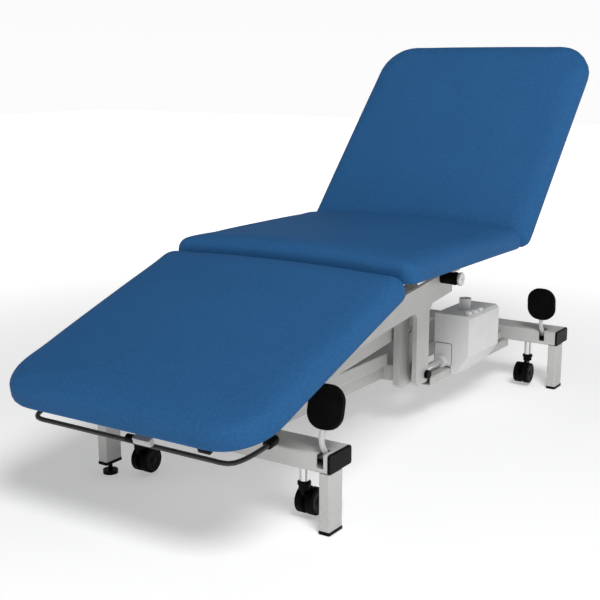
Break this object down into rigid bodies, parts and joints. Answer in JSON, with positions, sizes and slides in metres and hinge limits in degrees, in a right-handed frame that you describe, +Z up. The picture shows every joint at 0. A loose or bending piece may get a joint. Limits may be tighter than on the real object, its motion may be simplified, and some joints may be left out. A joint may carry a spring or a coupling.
{
  "type": "medical exam table",
  "caption": "Three-section padded exam table on a parallelogram-lift steel frame, with tilting leg and back sections, pedal-lowered castors and an underframe actuator.",
  "frame": {"origin": "on the floor below the middle of the table's length and width", "axes": "+X towards the head end, +Y across the table to the side away from the actuator and pedals, +Z up"},
  "size_m": [1.6689, 0.65, 0.9633],
  "materials": {
    "grey_steel": "satin pale grey paint",
    "black_plastic": "satin black",
    "black_rubber": "matt black",
    "black_steel": "semi-gloss black",
    "chrome": "polished",
    "grey_plastic": "pale grey, fine texture",
    "blue_vinyl": "fine-grained coated fabric"
  },
  "bodies": {
    "base": {"front_cross_tube": "grey_steel", "rear_cross_tube": "grey_steel", "front_leg_near": "grey_steel", "front_leg_far": "grey_steel", "rear_leg_near": "grey_steel", "rear_leg_far": "grey_steel", "spine": "grey_steel", "front_channel": "grey_steel", "upright_near": "grey_steel", "upright_far": "grey_steel", "base_rail_near": "grey_steel", "base_rail_far": "grey_steel"},
    "levelling_foot": {"levelling_foot": "black_plastic"},
    "lift_arms": {"lift_arm_near": "grey_steel", "lift_arm_far": "grey_steel", "lift_shaft": "grey_steel", "front_shaft": "grey_steel", "lever_pin": "black_plastic"},
    "rest_roller": {"rest_roller": "black_rubber"},
    "tie_arms": {"tie_arm_near": "grey_steel", "tie_arm_far": "grey_steel"},
    "upper_frame": {"frame_rail_near": "grey_steel", "frame_rail_far": "grey_steel", "frame_cross_middle": "grey_steel", "frame_cross_rear": "grey_steel", "front_bracket_near": "grey_steel", "front_bracket_far": "grey_steel", "seat_board": "grey_steel", "seat_cushion": "blue_vinyl"},
    "leg_section": {"leg_board": "grey_steel", "leg_rail_near": "grey_steel", "leg_rail_far": "grey_steel", "leg_cushion": "blue_vinyl"},
    "release_bar": {"release_bar": "black_steel"},
    "back_section": {"back_board": "grey_steel", "back_rail_near": "grey_steel", "back_rail_far": "grey_steel", "back_cushion": "blue_vinyl"},
    "leg_strut_tube": {"leg_strut_tube": "black_steel"},
    "leg_strut_rod": {"leg_strut_rod": "chrome"},
    "back_strut_tube": {"back_strut_tube": "black_steel"},
    "back_strut_rod": {"back_strut_rod": "chrome"},
    "actuator_housing": {"actuator_housing": "grey_plastic"},
    "actuator_rod": {"actuator_rod": "chrome"},
    "pedal_front": {"pedal_arm_front": "grey_steel", "pedal_pad_front": "black_rubber"},
    "pedal_rear": {"pedal_arm_rear": "grey_steel", "pedal_pad_rear": "black_rubber"},
    "castor_stem_front_near": {"castor_stem_front_near": "chrome"},
    "castor_yoke_front_near": {"castor_yoke_front_near": "black_plastic"},
    "castor_wheel_front_near": {"castor_wheel_front_near": "black_rubber"},
    "castor_stem_front_far": {"castor_stem_front_far": "chrome"},
    "castor_yoke_front_far": {"castor_yoke_front_far": "black_plastic"},
    "castor_wheel_front_far": {"castor_wheel_front_far": "black_rubber"},
    "castor_stem_rear_near": {"castor_stem_rear_near": "chrome"},
    "castor_yoke_rear_near": {"castor_yoke_rear_near": "black_plastic"},
    "castor_wheel_rear_near": {"castor_wheel_rear_near": "black_rubber"},
    "castor_stem_rear_far": {"castor_stem_rear_far": "chrome"},
    "castor_yoke_rear_far": {"castor_yoke_rear_far": "black_plastic"},
    "castor_wheel_rear_far": {"castor_wheel_rear_far": "black_rubber"}
  },
  "joints": [
    {"name": "lift", "type": "hinge", "parent": "base", "child": "lift_arms", "pos_m": [0.1544, 0, 0.341], "axis": [0, 1, 0], "range_deg": [0, 42]},
    {"name": "frame_level", "type": "hinge", "parent": "lift_arms", "child": "upper_frame", "pos_m": [-0.3926, 0, 0.282], "axis": [0, 1, 0], "range_deg": [-42.1, 0.1]},
    {"name": "tie_swing", "type": "hinge", "parent": "base", "child": "tie_arms", "pos_m": [0.1544, 0, 0.254], "axis": [0, 1, 0], "range_deg": [-0.1, 42.1]},
    {"name": "roller_spin", "type": "hinge", "parent": "lift_arms", "child": "rest_roller", "pos_m": [0.2504, -0.175, 0.378], "axis": [0, 1, 0], "continuous": true},
    {"name": "actuator_tilt", "type": "hinge", "parent": "base", "child": "actuator_housing", "pos_m": [0.6454, -0.125, 0.139], "axis": [0, 1, 0], "range_deg": [-0.1, 3.02]},
    {"name": "actuator_extend", "type": "slide", "parent": "actuator_housing", "child": "actuator_rod", "axis": [-1, 0, 0], "range_m": [-0.0005, 0.1436]},
    {"name": "leg_tilt", "type": "hinge", "parent": "upper_frame", "child": "leg_section", "pos_m": [-0.1979, 0, 0.432], "axis": [0, 1, 0], "range_deg": [-5, 18.9]},
    {"name": "leg_strut_swing", "type": "hinge", "parent": "upper_frame", "child": "leg_strut_tube", "pos_m": [0.0324, 0.187, 0.416], "axis": [0, 1, 0], "range_deg": [-0.49, 1.7]},
    {"name": "leg_strut_extend", "type": "slide", "parent": "leg_strut_tube", "child": "leg_strut_rod", "axis": [-0.9611, 0, -0.2762], "range_m": [-0.00689, 0.02548]},
    {"name": "back_tilt", "type": "hinge", "parent": "upper_frame", "child": "back_section", "pos_m": [0.4074, 0, 0.432], "axis": [0, 1, 0], "range_deg": [-5, 47.2]},
    {"name": "back_strut_swing", "type": "hinge", "parent": "upper_frame", "child": "back_strut_tube", "pos_m": [0.0604, 0.187, 0.416], "axis": [0, 1, 0], "range_deg": [-0.32, 2.58]},
    {"name": "back_strut_extend", "type": "slide", "parent": "back_strut_tube", "child": "back_strut_rod", "axis": [0.9844, 0, -0.1761], "range_m": [-0.0705, 0.00765]},
    {"name": "release_lift", "type": "hinge", "parent": "leg_section", "child": "release_bar", "pos_m": [-0.66523, 0, 0.22866], "axis": [0, 1, 0], "range_deg": [0, 10]},
    {"name": "foot_screw", "type": "slide", "parent": "base", "child": "levelling_foot", "axis": [0, 0, 1], "range_m": [-0.006, 0.012]},
    {"name": "pedal_front_press", "type": "hinge", "parent": "base", "child": "pedal_front", "pos_m": [-0.5001, -0.285, 0.147], "axis": [0, -1, 0], "range_deg": [0, 25]},
    {"name": "castor_drop_front_near", "type": "slide", "parent": "base", "child": "castor_stem_front_near", "axis": [0, 0, -1], "range_m": [-0.0002, 0.0132]},
    {"name": "castor_swivel_front_near", "type": "hinge", "parent": "castor_stem_front_near", "child": "castor_yoke_front_near", "pos_m": [-0.5001, -0.221, 0.075], "axis": [0, 0, 1], "continuous": true},
    {"name": "castor_roll_front_near", "type": "hinge", "parent": "castor_yoke_front_near", "child": "castor_wheel_front_near", "pos_m": [-0.4781, -0.221, 0.037], "axis": [0, 1, 0], "continuous": true},
    {"name": "castor_drop_front_far", "type": "slide", "parent": "base", "child": "castor_stem_front_far", "axis": [0, 0, -1], "range_m": [-0.0002, 0.0132]},
    {"name": "castor_swivel_front_far", "type": "hinge", "parent": "castor_stem_front_far", "child": "castor_yoke_front_far", "pos_m": [-0.5001, 0.221, 0.075], "axis": [0, 0, 1], "continuous": true},
    {"name": "castor_roll_front_far", "type": "hinge", "parent": "castor_yoke_front_far", "child": "castor_wheel_front_far", "pos_m": [-0.4781, 0.221, 0.037], "axis": [0, 1, 0], "continuous": true},
    {"name": "pedal_rear_press", "type": "hinge", "parent": "base", "child": "pedal_rear", "pos_m": [0.7129, -0.262, 0.147], "axis": [0, -1, 0], "range_deg": [0, 25]},
    {"name": "castor_drop_rear_near", "type": "slide", "parent": "base", "child": "castor_stem_rear_near", "axis": [0, 0, -1], "range_m": [-0.0002, 0.0132]},
    {"name": "castor_swivel_rear_near", "type": "hinge", "parent": "castor_stem_rear_near", "child": "castor_yoke_rear_near", "pos_m": [0.6974, -0.212, 0.075], "axis": [0, 0, 1], "continuous": true},
    {"name": "castor_roll_rear_near", "type": "hinge", "parent": "castor_yoke_rear_near", "child": "castor_wheel_rear_near", "pos_m": [0.6714, -0.212, 0.037], "axis": [0, 1, 0], "continuous": true},
    {"name": "castor_drop_rear_far", "type": "slide", "parent": "base", "child": "castor_stem_rear_far", "axis": [0, 0, -1], "range_m": [-0.0002, 0.0132]},
    {"name": "castor_swivel_rear_far", "type": "hinge", "parent": "castor_stem_rear_far", "child": "castor_yoke_rear_far", "pos_m": [0.6974, 0.212, 0.075], "axis": [0, 0, 1], "continuous": true},
    {"name": "castor_roll_rear_far", "type": "hinge", "parent": "castor_yoke_rear_far", "child": "castor_wheel_rear_far", "pos_m": [0.6714, 0.212, 0.037], "axis": [0, 1, 0], "continuous": true}
  ],
  "couplings": [
    {"joint": "frame_level", "follows": "lift", "ratio": -1},
    {"joint": "tie_swing", "follows": "lift", "ratio": 1},
    {"joint": "actuator_tilt", "follows": "lift", "ratio": 0.06947},
    {"joint": "actuator_extend", "follows": "lift", "m_per_rad": 0.19526},
    {"joint": "leg_strut_swing", "follows": "leg_tilt", "ratio": 0.08751},
    {"joint": "leg_strut_extend", "follows": "leg_tilt", "m_per_rad": 0.07664},
    {"joint": "back_strut_swing", "follows": "back_tilt", "ratio": 0.05358},
    {"joint": "back_strut_extend", "follows": "back_tilt", "m_per_rad": -0.08533},
    {"joint": "castor_drop_front_near", "follows": "pedal_front_press", "m_per_rad": 0.0297},
    {"joint": "castor_drop_front_far", "follows": "pedal_front_press", "m_per_rad": 0.0297},
    {"joint": "castor_drop_rear_near", "follows": "pedal_rear_press", "m_per_rad": 0.0297},
    {"joint": "castor_drop_rear_far", "follows": "pedal_rear_press", "m_per_rad": 0.0297}
  ]
}
